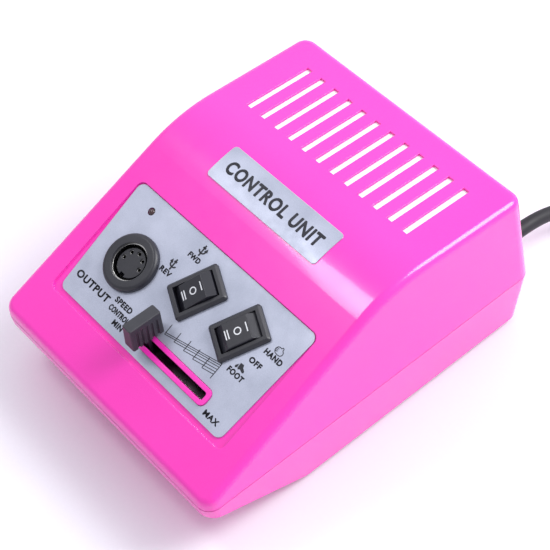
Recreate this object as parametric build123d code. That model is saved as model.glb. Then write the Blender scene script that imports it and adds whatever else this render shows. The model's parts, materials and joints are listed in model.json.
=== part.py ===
"""Control box of an electric nail drill, as separate solids in one frame.

Millimetres. +X is to the user's right, -Y is the front with the sloping control panel, +Z is up.
The origin is on the desk under the middle of the box, with its rear fittings counted.
"""
import math
import os

from build123d import *

os.makedirs("parts", exist_ok=True)

# ---------------------------------------------------------------- driving sizes
WIDTH = 123.4            # across the parting line
DEPTH = 158.5            # front edge to rear wall at the parting line
REAR_REACH = 13.0        # longest rear fitting behind the rear wall
FOOT_HEIGHT = 2.5        # rubber foot below the base
BASE_HEIGHT = 25.0       # base shell, from its underside to the parting line
TOP_Z = 74.9             # height of the unrounded crease between panel and top
CREASE_BACK = 88.6       # front edge to the unrounded crease
CREASE_RADIUS = 60.0     # long soft bend between panel and top
PANEL_SLOPE = 25.9       # degrees
TOP_FALL = 2.9           # degrees, top falls towards the back
SIDE_DRAFT = 2.9         # degrees, walls lean inwards going up
REAR_DRAFT = 6.5
FRONT_DRAFT = 2.0
BASE_DRAFT = 5.0         # base walls lean inwards going down
CORNER_RADIUS = 5.5      # upright corners, seen from above
EDGE_RADIUS = 3.2        # top edges
BOW_BACK = 46.0          # front edge to the point where the base becomes flat
BOW_RISE = 21.0          # how far the base rises at the front
WALL = 2.4               # shell thickness
SEAM = 0.3               # visible gap between the two shells
FIT = 0.25               # general clearance between fixed pieces

# face plate on the sloping panel
PLATE_DROP = 53.5        # unrounded crease to plate centre, down the slope
PLATE_TOP_WIDTH = 99.9
PLATE_BOTTOM_WIDTH = 93.9
PLATE_HEIGHT = 49.7
PLATE_THICK = 0.6
PLATE_CORNER = 3.0
RECESS_DEPTH = 1.0       # seat of the face plate, cut into the shell
RECESS_LOW = 2.2         # recess below the plate's lower edge

# small plate that lies on the crease
BADGE_WIDTH = 60.0
BADGE_HEIGHT = 15.5
BADGE_THICK = 0.4
BADGE_BACK = 86.2        # front edge to its centre

# vent slots in the top
SLOT_COUNT = 12
SLOT_PITCH = 7.77
SLOT_WIDTH = 2.7
SLOT_LENGTH = 30.8
SLOT_BACK = 125.6        # front edge to the slots' middle
VENT_SKIN = 1.0          # wall left above the filter pocket
FILTER_MARGIN = 4.0      # filter beyond the slots

# speed slider
TRAVEL = 30.0            # of the slider
SLOT_REST_X = -1.4       # knob centre at the slow end
SLIDER_V = -17.5         # slot's place on the panel, down from the plate's centre
SLIDE_SLOT_WIDTH = 3.3
RIM_WIDTH = 7.0
KNOB_LENGTH = 14.0       # front to back
KNOB_WIDE = 5.7          # at its foot
KNOB_NARROW = 4.8        # at its top
KNOB_HEIGHT = 10.8
LEVER_THICK = 1.2
LEVER_WIDE = 3.6

# rocker switches
BEZEL_LONG = 21.0
BEZEL_SHORT = 15.0
BEZEL_HIGH = 2.0
WINDOW_LONG = 16.6
WINDOW_SHORT = 10.6
SWITCH_TURN = 62.0       # long side, degrees from +X on the panel
SWITCH_BODY_LONG = 19.0
SWITCH_BODY_SHORT = 12.8
SWITCH_DEEP = 14.0
ROCKER_THROW = 11.0      # degrees each way from the middle
BLADE_RATIO = 0.5        # blade's turn for each degree of the rocker
DIRECTION_AT = (1.1, 7.9)
MODE_AT = (25.6, 7.4)

# output socket
SOCKET_AT = (-28.9, -0.5)
FLANGE_R = 11.5
SOCKET_SHELL_R = 7.6
SOCKET_BARREL_R = 9.0
SOCKET_DEEP = 14.0
CONTACT_COUNT = 5

# power lamp
LED_AT = (-37.7, 18.6)
LED_R = 1.5

# transformer
CORE_LONG = 48.0
CORE_THICK = 22.0
CORE_HIGH = 40.0
CORE_LEG = 8.0

# circuit board
BOARD_LONG = 86.0
BOARD_DEEP = 56.0
BOARD_THICK = 1.6
BOARD_Z = 28.6

# mains cord
CORD_R = 3.0
CORD_X = 40.0

# ---------------------------------------------------------------- worked out
PART_Z = FOOT_HEIGHT + BASE_HEIGHT
Y_FRONT = -(DEPTH + REAR_REACH) / 2
Y_REAR = Y_FRONT + DEPTH
SLOPE = math.radians(PANEL_SLOPE)
FALL = math.radians(TOP_FALL)
CREASE_Y = Y_FRONT + CREASE_BACK
PANEL_Y = CREASE_Y - PLATE_DROP * math.cos(SLOPE)
PANEL_Z = TOP_Z - PLATE_DROP * math.sin(SLOPE)
PANEL = Plane(origin=(0, PANEL_Y, PANEL_Z), x_dir=(1, 0, 0), z_dir=(0, -math.sin(SLOPE), math.cos(SLOPE)))
BACK_LEAN = math.tan(math.radians(REAR_DRAFT))


# ---------------------------------------------------------------- smaller sizes
PLATE_TOP = PLATE_THICK - RECESS_DEPTH      # face plate's outer face, from the shell's surface
RIM_TOP = 0.2                               # raised rim round the slider slot
TONGUE = 2.5                                # base's tongue inside the upper shell
POST_X = 50.5
POST_FROM_FRONT = 22.0
POST_FROM_REAR = 14.0
POST_R = 3.6
CASE_SCREW_R = 1.5
CASE_HEAD_R = 2.9
CASE_SEAT_Z = PART_Z - 6.0
FOOT_R = 6.0
FOOT_X = 37.0
SLOT_MID_X = SLOT_REST_X + TRAVEL / 2
SLIDE_SLOT_LONG = TRAVEL + LEVER_WIDE + 2.4
SLOT_END_R = 0.9
VENT_Y = Y_FRONT + SLOT_BACK
FILTER_LONG = (SLOT_COUNT - 1) * SLOT_PITCH + SLOT_WIDTH + 2 * FILTER_MARGIN
FILTER_DEEP = SLOT_LENGTH + 2 * FILTER_MARGIN
FLANGE_HIGH = 2.6
INSERT_R = 5.9
CONTACT_RING_R = 4.45
CONTACT_R = 0.95
ROCKER_PIVOT = -1.0                         # below the face plate
ROCKER_HALF = WINDOW_LONG / 2 - 0.35
ROCKER_WIDE = WINDOW_SHORT - 0.7
ROCKER_FLAT = 4.9
ROCKER_TOP = 3.1
ROCKER_END = 0.9
PIVOT_R = 1.2
PLUNGER_R = 1.5
PLUNGER_TIP = -9.0
BLADE_Z = -9.9                              # lower face of the see-saw blade
KNIFE_R = 0.4                               # rounded knife edge that the blade tips on
KNIFE_PLAY = 0.05
TERMINAL_S = (-6.0, 0.0, 6.0)
TERMINAL_THICK = 2 * KNIFE_R
TERMINAL_WIDE = 4.8
TERMINAL_LONG = 8.0
TERMINAL_TOP = BLADE_Z - 1.3
LEVER_Y = PANEL_Y + SLIDER_V * math.cos(SLOPE) + WALL / 2 * math.sin(SLOPE)
KNOB_Y = LEVER_Y - 0.9
KNOB_Z = PANEL_Z - 4.2
GROOVE_COUNT = 5
GROOVE_PITCH = 2.2
GROOVE_HIGH = 8.4
POT_LONG = TRAVEL + 15.0
POT_DEEP = 9.0
POT_HIGH = 6.5
BOARD_Y = Y_FRONT + 46.5
BOARD_HEAD_R = 2.6
PARTS_Y = BOARD_Y + BOARD_DEEP / 2 - 5.0
RECTIFIER_X = -1.0
CAN_X = (-30.5, -18.5)
CAN_R = 5.0
SINK_X = 22.0
CORE_Y = Y_FRONT + 104.0
CORE_Z = FOOT_HEIGHT + WALL + 6.0
BRACKET_THICK = 1.2
BRACKET_WIDE = 14.0
BRACKET_X = CORE_LONG / 2 + 8.0
REAR_PAD = WALL + 1.8                       # depth of the upright pad behind each rear fitting
CORD_Z = PART_Z - 7.5
CORD_HOLE_R = 4.8
REAR_FIT_Z = FOOT_HEIGHT + 13.0
FUSE_X = -36.0
FUSE_R = 6.0
FUSE_BORE_R = 4.2
FUSE_LINK_LONG = 20.0
JACK_X = 0.0
JACK_THREAD_R = 4.6
JACK_BORE_R = 3.25
JACK_BORE_LONG = 20.0
COIL_R = 36.0
COIL_RINGS = 3
COIL_LAYERS = 2
COIL_LEAD = 24.0                            # straight stub at each end, long enough to clear the ring
COIL_TOP_Z = (2 * COIL_LAYERS - 1) * CORD_R
COIL_CENTRE = (14.0, 198.0)
COIL_SIDE_X = COIL_CENTRE[0] + COIL_R + (COIL_RINGS - 1) * CORD_R   # where the cord joins and leaves the coil
PLUG_LONG = 34.0
PLUG_WIDE = 26.0
PLUG_HIGH = 13.4
PIN_R = 2.0
PIN_ROOT_R = 1.7                            # inside the plug's body
PIN_ROOT_LONG = 8.0
PIN_LONG = 19.0
PIN_SPACING = 18.6
CORD_POINTS = [
    (CORD_X, Y_REAR + REAR_REACH, CORD_Z),
    (CORD_X, 98.0, CORD_Z),
    (41.0, 114.0, 13.8),
    (45.5, 129.0, 6.5),
    (51.5, 143.0, CORD_R),
    (COIL_SIDE_X, 158.5, CORD_R),
    (COIL_SIDE_X, COIL_CENTRE[1] - COIL_LEAD, CORD_R),
]
TAIL_POINTS = [
    (COIL_SIDE_X, COIL_CENTRE[1] + COIL_LEAD, COIL_TOP_Z),
    (COIL_SIDE_X, 230.0, COIL_TOP_Z),
    (COIL_SIDE_X, 239.5, PLUG_HIGH / 2),
    (COIL_SIDE_X, 247.5, PLUG_HIGH / 2),
]


def save(name, shape):
    """Write one node's solids."""
    export_step(shape, f"parts/{name}.step")


def on_panel(u, v, w=0.0, turn=0.0):
    """Place on the sloping panel: u to the right, v up the slope, w out of the plate's seat plane."""
    return PANEL.location * Pos(u, v, w) * Rot(0, 0, turn)


def rounded_block(long, deep, high, radius, low=0.0):
    """Upright block with rounded corners, centred in X and Y, from low to low + high."""
    return Pos(0, 0, low) * extrude(RectangleRounded(long, deep, radius), high)


def drum(radius, high, low=0.0):
    """Upright cylinder from low to low + high."""
    return Pos(0, 0, low + high / 2) * Cylinder(radius, high)


def tube(outer, inner, high, low=0.0):
    """Upright tube from low to low + high."""
    return drum(outer, high, low) - drum(inner, high + 2, low - 1)


# ---------------------------------------------------------------- shells
def plan_at(z, inset, draft_side, draft_front, draft_rear):
    """Rounded outline of a drafted box at height z, drawn in by inset. Height counts from the parting line."""
    rise = z - PART_Z
    half = WIDTH / 2 - inset - rise * math.tan(math.radians(draft_side))
    front = Y_FRONT + inset + rise * math.tan(math.radians(draft_front))
    rear = Y_REAR - inset - rise * math.tan(math.radians(draft_rear))
    radius = max(CORNER_RADIUS - inset, 1.0)
    return Pos(0, (front + rear) / 2, z) * RectangleRounded(2 * half, rear - front, radius)


def walls(z0, z1, inset, draft_side, draft_front, draft_rear):
    """Drafted box between two heights."""
    low = plan_at(z0, inset, draft_side, draft_front, draft_rear)
    high = plan_at(z1, inset, draft_side, draft_front, draft_rear)
    return loft([low, high], ruled=True)


def roof_points(inset):
    """Tangent points and middle of the crease's arc, drawn in by inset, as (y, z)."""
    half_turn = (SLOPE + FALL) / 2
    slope_out = (-math.sin(SLOPE), math.cos(SLOPE))
    top_out = (math.sin(FALL), math.cos(FALL))
    lean = (SLOPE - FALL) / 2
    mid_out = (-math.sin(lean), math.cos(lean))
    reach = CREASE_RADIUS / math.cos(half_turn)
    centre = (CREASE_Y - reach * mid_out[0], TOP_Z - reach * mid_out[1])
    radius = CREASE_RADIUS - inset
    return [(centre[0] + radius * out[0], centre[1] + radius * out[1]) for out in (slope_out, mid_out, top_out)]


def roof(z0, inset):
    """Everything under the sloping panel, the crease and the top, down to z0."""
    start, middle, end = roof_points(inset)
    run = 2 * DEPTH
    front = (start[0] - run * math.cos(SLOPE), start[1] - run * math.sin(SLOPE))
    rear = (end[0] + run * math.cos(FALL), end[1] - run * math.sin(FALL))
    deep = min(z0, front[1]) - 1
    line = Polyline((0, *start), (0, *front), (0, front[0], deep), (0, rear[0], deep), (0, *rear), (0, *end))
    arc = ThreePointArc((0, *end), (0, *middle), (0, *start))
    return extrude(make_face(line + arc), WIDTH, both=True)


def upper_form(inset, z0=PART_Z):
    """Upper shell's outer form, or its cavity when drawn in."""
    box = walls(z0, TOP_Z + 4, inset, SIDE_DRAFT, FRONT_DRAFT, REAR_DRAFT)
    return box & roof(z0, inset)


def bow(z0, inset):
    """Everything above the base's underside: flat at the back, swept up at the front."""
    rise = BOW_RISE - inset * 0.1
    flat = z0 + inset
    pts = [
        (0, Y_REAR + 5, flat),
        (0, Y_FRONT + BOW_BACK, flat),
        (0, Y_FRONT - 8 + inset * 0.6, flat + rise * (BOW_BACK + 8) / BOW_BACK),
        (0, Y_FRONT - 8, PART_Z + 20),
        (0, Y_REAR + 5, PART_Z + 20),
    ]
    return extrude(make_face(Polyline(*pts, close=True)), WIDTH, both=True)


def base_form(inset, z1=PART_Z):
    """Base shell's outer form, or its cavity when drawn in."""
    box = walls(FOOT_HEIGHT, z1, inset, -BASE_DRAFT, -BASE_DRAFT, -BASE_DRAFT)
    return box & bow(FOOT_HEIGHT, inset)



def case_post_places():
    """Where the four case screws stand: (x, y)."""
    front = Y_FRONT + POST_FROM_FRONT
    rear = Y_REAR - POST_FROM_REAR
    return [(sx * POST_X, y) for y in (front, rear) for sx in (-1, 1)]


def board_post_places():
    """Where the four board screws stand: (x, y). The front pair stands just behind the slide potentiometer."""
    xs = BOARD_LONG / 2 - 4.0
    front = LEVER_Y + POT_DEEP / 2 + BOARD_HEAD_R + FIT
    rear = BOARD_Y + BOARD_DEEP / 2 - 4.0
    return [(sx * xs, y) for y in (front, rear) for sx in (-1, 1)]


def slot_cut(grow, low, high):
    """Obround prism through the panel along the slider slot, grown all round."""
    outline = RectangleRounded(SLIDE_SLOT_LONG + 2 * grow, SLIDE_SLOT_WIDTH + 2 * grow, SLOT_END_R + grow * 0.8)
    return on_panel(SLOT_MID_X, SLIDER_V, low) * extrude(outline, high - low)


def plate_outline(grow):
    """Face plate: wider at its top edge, with rounded corners."""
    top = PLATE_TOP_WIDTH / 2 + grow
    bottom = PLATE_BOTTOM_WIDTH / 2 + grow
    half = PLATE_HEIGHT / 2 + grow
    corners = [(-bottom, -half), (bottom, -half), (top, half), (-top, half)]
    face = make_face(Polyline(*corners, close=True))
    return fillet(face.vertices(), PLATE_CORNER)


def switch_place(at, w=0.0):
    """Middle of a switch on the face plate, local X along its long side."""
    return on_panel(at[0], at[1], PLATE_TOP + w, SWITCH_TURN)


def panel_holes(low, high):
    """Cuts for the switches, the output socket and the lamp."""
    deep = high - low
    cuts = on_panel(*SOCKET_AT, low) * drum(SOCKET_BARREL_R + FIT, deep)
    cuts += on_panel(*LED_AT, low) * drum(LED_R + 0.1, deep)
    for at in (DIRECTION_AT, MODE_AT):
        outline = Rectangle(SWITCH_BODY_LONG + 2 * FIT, SWITCH_BODY_SHORT + 2 * FIT)
        cuts += on_panel(*at, low, SWITCH_TURN) * extrude(outline, deep)
    return cuts


def roof_place(y):
    """Place on the crease or the top at depth y, local Z out of the surface."""
    start, _, end = roof_points(0.0)
    if y > end[0]:
        lean, z = -FALL, end[1] - (y - end[0]) * math.tan(FALL)
    else:
        half_turn = (SLOPE + FALL) / 2
        lean0 = (SLOPE - FALL) / 2
        reach = CREASE_RADIUS / math.cos(half_turn)
        centre = (CREASE_Y + reach * math.sin(lean0), TOP_Z - reach * math.cos(lean0))
        lean = -math.asin((y - centre[0]) / CREASE_RADIUS)
        z = centre[1] + CREASE_RADIUS * math.cos(lean)
    return Pos(0, y, z) * Rot(math.degrees(lean), 0, 0)


def vent_places():
    """X of each vent slot."""
    return [(i - (SLOT_COUNT - 1) / 2) * SLOT_PITCH for i in range(SLOT_COUNT)]


def make_upper_shell():
    """Upper shell: sloping panel, crease, top and drafted walls, open underneath."""
    form = upper_form(0.0, PART_Z + SEAM)
    ring = []
    for edge in form.edges():
        middle = edge.center()
        across = abs(middle.X) < 1 and abs(middle.Z - TOP_Z) < 12 and middle.Y < Y_REAR - 20
        if edge.bounding_box().min.Z > PART_Z + SEAM + 0.01 and not across:
            ring.append(edge)
    shell = fillet(ring, EDGE_RADIUS) - upper_form(WALL, PART_Z - 5)
    rim = slot_cut((RIM_WIDTH - SLIDE_SLOT_WIDTH) / 2, -WALL, RIM_TOP)
    half = (PLATE_TOP_WIDTH / 2 + 0.4, PLATE_HEIGHT / 2 + 0.3)
    recess_high = 2 * half[1] + RECESS_LOW
    seat = on_panel(0, half[1] - recess_high / 2, -RECESS_DEPTH)
    recess = seat * extrude(RectangleRounded(2 * half[0], recess_high, PLATE_CORNER), 6)
    shell = shell - recess + rim
    for x, y in case_post_places():
        post = Pos(x, y, 0) * drum(POST_R, TOP_Z - PART_Z, PART_Z + SEAM)
        shell += post & upper_form(WALL / 2, PART_Z)
        shell -= Pos(x, y, 0) * drum(CASE_SCREW_R + 0.05, 13.0, PART_Z - 1)
    shell -= panel_holes(-WALL - 1, 4)
    shell -= slot_cut(0, -WALL - 1, 4)
    vents = roof_place(VENT_Y)
    pocket = Box(FILTER_LONG + 0.4, FILTER_DEEP + 0.4, WALL)
    shell -= vents * Pos(0, 0, -VENT_SKIN - WALL / 2) * pocket
    slot = Box(SLOT_WIDTH, SLOT_LENGTH, 4 * WALL)
    shell -= [vents * Pos(x, 0, 0) * slot for x in vent_places()]
    return shell


def rear_places():
    """Rear fittings: name to place on the base's rear wall, local Z pointing out of the back."""
    return {
        "cord": Pos(CORD_X, Y_REAR, CORD_Z) * Rot(-90, 0, 0),
        "fuse": Pos(FUSE_X, Y_REAR, REAR_FIT_Z) * Rot(-90, 0, 0),
        "jack": Pos(JACK_X, Y_REAR, REAR_FIT_Z) * Rot(-90, 0, 0),
    }


def make_base_shell():
    """Base shell: floor swept up at the front, walls, tongue inside the seam, posts and bosses."""
    shell = base_form(0.0) - base_form(WALL, PART_Z + 5)
    outer = walls(PART_Z - 4, PART_Z + TONGUE, WALL + FIT, SIDE_DRAFT, FRONT_DRAFT, REAR_DRAFT)
    inner = walls(PART_Z - 5, PART_Z + TONGUE + 1, WALL + FIT + 1.3, SIDE_DRAFT, FRONT_DRAFT, REAR_DRAFT)
    root = base_form(WALL / 2) & Pos(0, 0, PART_Z - 2) * Box(2 * WIDTH, 2 * DEPTH, 4)
    shell += outer - inner
    shell += root - base_form(WALL + FIT + 1.3, PART_Z + 5)
    inside = base_form(WALL / 2)
    for x, y in case_post_places():
        shell += Pos(x, y, 0) * drum(POST_R + 1, BASE_HEIGHT, FOOT_HEIGHT) & inside
    for x, y in board_post_places():
        shell += Pos(x, y, 0) * drum(3.4, BOARD_Z - BOARD_THICK - FOOT_HEIGHT, FOOT_HEIGHT) & inside_tall()
        shell -= Pos(x, y, 0) * drum(1.25, 8, BOARD_Z - BOARD_THICK - 7)
    for x in (-BRACKET_X, BRACKET_X):
        shell += Pos(x, CORE_Y, 0) * drum(3.6, CORE_Z - BRACKET_THICK - FOOT_HEIGHT - 1, FOOT_HEIGHT + 1)
        shell -= Pos(x, CORE_Y, 0) * drum(1.55, 8, CORE_Z - BRACKET_THICK - 6.5)
    for x, y in case_post_places():
        shell -= Pos(x, y, 0) * drum(CASE_SCREW_R + 0.3, BASE_HEIGHT + 5, FOOT_HEIGHT - 1)
        shell -= Pos(x, y, 0) * drum(CASE_HEAD_R + 0.4, CASE_SEAT_Z - FOOT_HEIGHT + 1, FOOT_HEIGHT - 1)
    for name, radius in (("cord", CORD_HOLE_R), ("fuse", FUSE_R), ("jack", JACK_THREAD_R)):
        shell += rear_places()[name] * drum(radius + 2.2, REAR_PAD, -REAR_PAD)
        shell -= rear_places()[name] * drum(radius + 0.1, 12, -8)
    return shell


def inside_tall():
    """Room that posts may fill above the base's floor, up to the board."""
    return bow(FOOT_HEIGHT, WALL / 2)


def foot_places():
    """Name and middle of each rubber foot."""
    spots = {}
    for side, sx in (("left", -1), ("right", 1)):
        spots[f"foot_front_{side}"] = (sx * FOOT_X, Y_FRONT + BOW_BACK + FOOT_R + 3)
        spots[f"foot_rear_{side}"] = (sx * FOOT_X, Y_REAR - FOOT_R - 12)
    return spots


def make_foot():
    """Round foot with a rounded lower edge, its top on z = FOOT_HEIGHT."""
    foot = drum(FOOT_R, FOOT_HEIGHT)
    return fillet(foot.edges().sort_by(Axis.Z)[0], 0.8)


def make_case_screws():
    """Four pan-head screws that go up through the base into the upper shell."""
    screw = drum(CASE_SCREW_R, 16.0, CASE_SEAT_Z) + drum(CASE_HEAD_R, 2.2, CASE_SEAT_Z - 2.2)
    screw -= Pos(0, 0, CASE_SEAT_Z - 2.0) * (Box(3.4, 0.8, 1.6) + Box(0.8, 3.4, 1.6))
    return Compound([Pos(x, y, 0) * screw for x, y in case_post_places()])


def make_face_plate():
    """Sheet plate with its holes and its top edges just broken."""
    plate = on_panel(0, 0, -RECESS_DEPTH) * extrude(plate_outline(0), PLATE_THICK)
    plate -= panel_holes(-4, 4)
    return plate - slot_cut((RIM_WIDTH - SLIDE_SLOT_WIDTH) / 2 + 0.15, -4, 4)


def make_name_plate():
    """Small blank plate bent to the crease."""
    reach = BADGE_HEIGHT / 2
    y = Y_FRONT + BADGE_BACK
    place = roof_place(y)
    skin = roof(PART_Z, -BADGE_THICK) - roof(PART_Z, 0.0)
    cutter = Pos(0, 0, -8) * extrude(RectangleRounded(BADGE_WIDTH, 2 * reach, 1.6), 16)
    return skin & place * cutter


def make_dust_filter():
    """Thin filter sheet in its pocket under the vent slots."""
    thick = WALL - VENT_SKIN
    return roof_place(VENT_Y) * Pos(0, 0, -VENT_SKIN - thick / 2) * Box(FILTER_LONG, FILTER_DEEP, thick)


# ---------------------------------------------------------------- output socket
def make_socket():
    """Round five-pole socket: flange with barrel, metal shell, insert with key, contacts, back nut."""
    place = on_panel(*SOCKET_AT, PLATE_TOP)
    flange = fillet(drum(FLANGE_R, FLANGE_HIGH).edges().sort_by(Axis.Z)[-1], 1.6)
    flange += drum(SOCKET_BARREL_R, 9.0, -9.0)
    flange -= drum(SOCKET_SHELL_R, 20, -10)
    shell = drum(SOCKET_SHELL_R, SOCKET_DEEP + 1.6, -SOCKET_DEEP) - drum(SOCKET_SHELL_R - 0.5, 20, 1 - SOCKET_DEEP)
    shell -= drum(INSERT_R - 0.2, 4, -SOCKET_DEEP - 1)
    insert = drum(INSERT_R, SOCKET_DEEP - 0.4, 1 - SOCKET_DEEP)
    insert += drum(SOCKET_SHELL_R - 0.5, 2.0, 1 - SOCKET_DEEP)
    insert -= Pos(0, -INSERT_R, 0) * Box(2.2, 2.4, 20)
    contacts = []
    for i in range(CONTACT_COUNT):
        angle = math.radians(180 * i / (CONTACT_COUNT - 1))
        spot = Pos(CONTACT_RING_R * math.cos(angle), CONTACT_RING_R * math.sin(angle), 0)
        insert -= spot * drum(CONTACT_R, 40, -20)
        contacts.append(spot * (tube(CONTACT_R, CONTACT_R - 0.25, SOCKET_DEEP, -SOCKET_DEEP) + drum(0.75, 5, -SOCKET_DEEP - 4.6)))
    low = -(WALL + PLATE_TOP) - 3.0
    nut = extrude(RegularPolygon(SOCKET_BARREL_R + 2.6, 6), 3.0) - drum(SOCKET_BARREL_R + 0.05, 9, -2)
    save("output_socket_flange", place * flange)
    save("output_socket_shell", place * shell)
    save("output_socket_insert", place * insert)
    save("output_socket_contacts", place * Compound(contacts))
    save("output_socket_nut", place * Pos(0, 0, low) * nut)


# ---------------------------------------------------------------- rocker switches
def switch_housing():
    """Bezel, body and pivot holes, seen along the long side."""
    bezel = extrude(RectangleRounded(BEZEL_LONG, BEZEL_SHORT, 1.2), BEZEL_HIGH)
    bezel = chamfer(bezel.faces().sort_by(Axis.Z)[-1].edges(), 0.9)
    body = Pos(0, 0, -SWITCH_DEEP / 2) * Box(SWITCH_BODY_LONG, SWITCH_BODY_SHORT, SWITCH_DEEP)
    room = Pos(0, 0, (BEZEL_HIGH + 1 - SWITCH_DEEP + 1.5) / 2)
    housing = bezel + body - room * Box(WINDOW_LONG, WINDOW_SHORT, BEZEL_HIGH + 1 + SWITCH_DEEP - 1.5)
    housing -= Pos(0, 0, ROCKER_PIVOT) * Rot(90, 0, 0) * Cylinder(PIVOT_R + 0.05, SWITCH_BODY_SHORT - 0.8)
    for s in TERMINAL_S:
        housing -= Pos(s, 0, -SWITCH_DEEP) * Box(TERMINAL_THICK, TERMINAL_WIDE, 6)
    return housing


def rocker_blank():
    """Rocker with a flat top, two sloping ends, pivot pins and a hub for the plunger."""
    outline = [
        (-ROCKER_HALF, -1.2), (-ROCKER_HALF, ROCKER_END), (-ROCKER_FLAT, ROCKER_TOP),
        (ROCKER_FLAT, ROCKER_TOP), (ROCKER_HALF, ROCKER_END), (ROCKER_HALF, -1.2), (3.0, -4.6), (-3.0, -4.6),
    ]
    side = make_face(Polyline(*[(s, 0, w) for s, w in outline], close=True))
    body = extrude(side, ROCKER_WIDE / 2, both=True)
    crown = body.faces().sort_by(Axis.Z)[-1].edges()
    body = fillet(crown, 0.35)
    body += Pos(0, 0, ROCKER_PIVOT) * Rot(90, 0, 0) * Cylinder(PIVOT_R, SWITCH_BODY_SHORT - 1.0)
    body += drum(2.4, 3.0, -7.0)
    return body - drum(PLUNGER_R + 0.02, 6.0, -8.0)


def switch_blade():
    """See-saw contact with a button under each end and a grooved hump that tips on the knife edge."""
    hump = Pos(0, 0, BLADE_Z) * Rot(90, 0, 0) * Cylinder(KNIFE_R + 0.3, 4.0)
    blade = Pos(0, 0, BLADE_Z + 0.25) * Box(12.6, 4.0, 0.5) + (hump & Pos(0, 0, BLADE_Z + 1) * Box(4, 6, 2))
    blade -= Pos(0, 0, BLADE_Z) * Rot(90, 0, 0) * Cylinder(KNIFE_R + KNIFE_PLAY, 6.0)
    for s in (-5.6, 5.6):
        blade += Pos(s, 0, BLADE_Z - 0.2) * Cylinder(1.1, 0.4)
    return blade


def switch_terminals():
    """Three tabs through the floor: a knife edge in the middle and two contact pads."""
    tabs = []
    for s, top in zip(TERMINAL_S, (TERMINAL_TOP, BLADE_Z, TERMINAL_TOP)):
        low = -SWITCH_DEEP - TERMINAL_LONG
        tab = Pos(s, 0, (top + low) / 2) * Box(TERMINAL_THICK, TERMINAL_WIDE, top - low)
        if s == 0:
            tab += Pos(0, 0, BLADE_Z) * Rot(90, 0, 0) * Cylinder(KNIFE_R, TERMINAL_WIDE)
        tabs.append(tab)
    return Compound(tabs)


def make_switch(name, at, rest):
    """One rocker switch, its rocker resting at `rest` degrees from the middle."""
    place = switch_place(at)
    pivot = Pos(0, 0, ROCKER_PIVOT)
    tip = pivot * Rot(0, rest, 0) * Pos(0, 0, -ROCKER_PIVOT)
    see_saw = Pos(0, 0, BLADE_Z) * Rot(0, -BLADE_RATIO * rest, 0) * Pos(0, 0, -BLADE_Z)
    plunger = drum(PLUNGER_R, 3.4, PLUNGER_TIP + 1.0) + Pos(0, 0, PLUNGER_TIP + 1.0) * Sphere(1.0)
    save(f"{name}_housing", place * switch_housing())
    save(f"{name}_rocker", place * tip * rocker_blank())
    save(f"{name}_plunger", place * tip * plunger)
    save(f"{name}_spring", place * tip * tube(PLUNGER_R - 0.1, 0.9, -2.0 - (PLUNGER_TIP + 4.4), PLUNGER_TIP + 4.4))
    save(f"{name}_blade", place * see_saw * switch_blade())
    save(f"{name}_terminals", place * switch_terminals())


# ---------------------------------------------------------------- speed slider
def make_speed_slider():
    """Slide potentiometer lying level on the board, with an upright lever and cap."""
    frame_place = Pos(SLOT_MID_X, LEVER_Y, BOARD_Z)
    frame = rounded_block(POT_LONG, POT_DEEP, POT_HIGH, 0.6)
    frame -= Pos(0, 0, -1 + POT_HIGH / 2 - 0.5) * Box(POT_LONG - 1, POT_DEEP - 1, POT_HIGH + 1)
    frame -= Pos(0, 0, POT_HIGH) * Box(TRAVEL + LEVER_WIDE + 1.6, LEVER_THICK + 1.2, 3)
    track = Pos(0, 0, 0.5) * Box(POT_LONG - 1, POT_DEEP - 1, 1.0)
    block = Pos(SLOT_REST_X, LEVER_Y, BOARD_Z + 2.8) * Box(6.0, POT_DEEP - 1.8, 3.0)
    lever_low = BOARD_Z + 3.0
    lever_high = KNOB_Z + 7.0
    lever = Pos(SLOT_REST_X, LEVER_Y, (lever_low + lever_high) / 2)
    lever = lever * Box(LEVER_WIDE, LEVER_THICK, lever_high - lever_low)
    low = RectangleRounded(KNOB_WIDE, KNOB_LENGTH, 0.7)
    high = Pos(0, 0, KNOB_HEIGHT) * RectangleRounded(KNOB_NARROW, KNOB_LENGTH, 0.7)
    knob = loft([low, high], ruled=True)
    knob = fillet(knob.faces().sort_by(Axis.Z)[-1].edges(), 0.4)
    for side in (-1, 1):
        for i in range(GROOVE_COUNT):
            y = (i - (GROOVE_COUNT - 1) / 2) * GROOVE_PITCH
            knob -= Pos(side * KNOB_WIDE / 2, y, GROOVE_HIGH / 2) * Box(1.3, GROOVE_PITCH * 0.55, GROOVE_HIGH + 0.02)
    knob = Pos(SLOT_REST_X, KNOB_Y, KNOB_Z) * knob - lever
    save("speed_pot_frame", frame_place * frame)
    save("speed_pot_track", frame_place * track)
    save("speed_pot_carriage", block + lever)
    save("speed_knob", knob)


# ---------------------------------------------------------------- lamp
def make_lamp():
    """Round 3 mm lamp and the sleeve that holds it behind the panel."""
    place = on_panel(*LED_AT)
    lamp = drum(LED_R, WALL + 1.0 - LED_R, -WALL - 1.0) + Pos(0, 0, -LED_R) * Sphere(LED_R)
    lamp += drum(LED_R + 0.4, 1.0, -WALL - 1.0)
    for u in (-1.27, 1.27):
        lamp += Pos(u, 0, -WALL - 6.5) * Box(0.5, 0.5, 11.2)
    sleeve = tube(3.4, LED_R + 0.4, 5.0, -WALL - 5.0)
    save("power_lamp", place * lamp)
    save("lamp_holder", place * sleeve)


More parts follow.
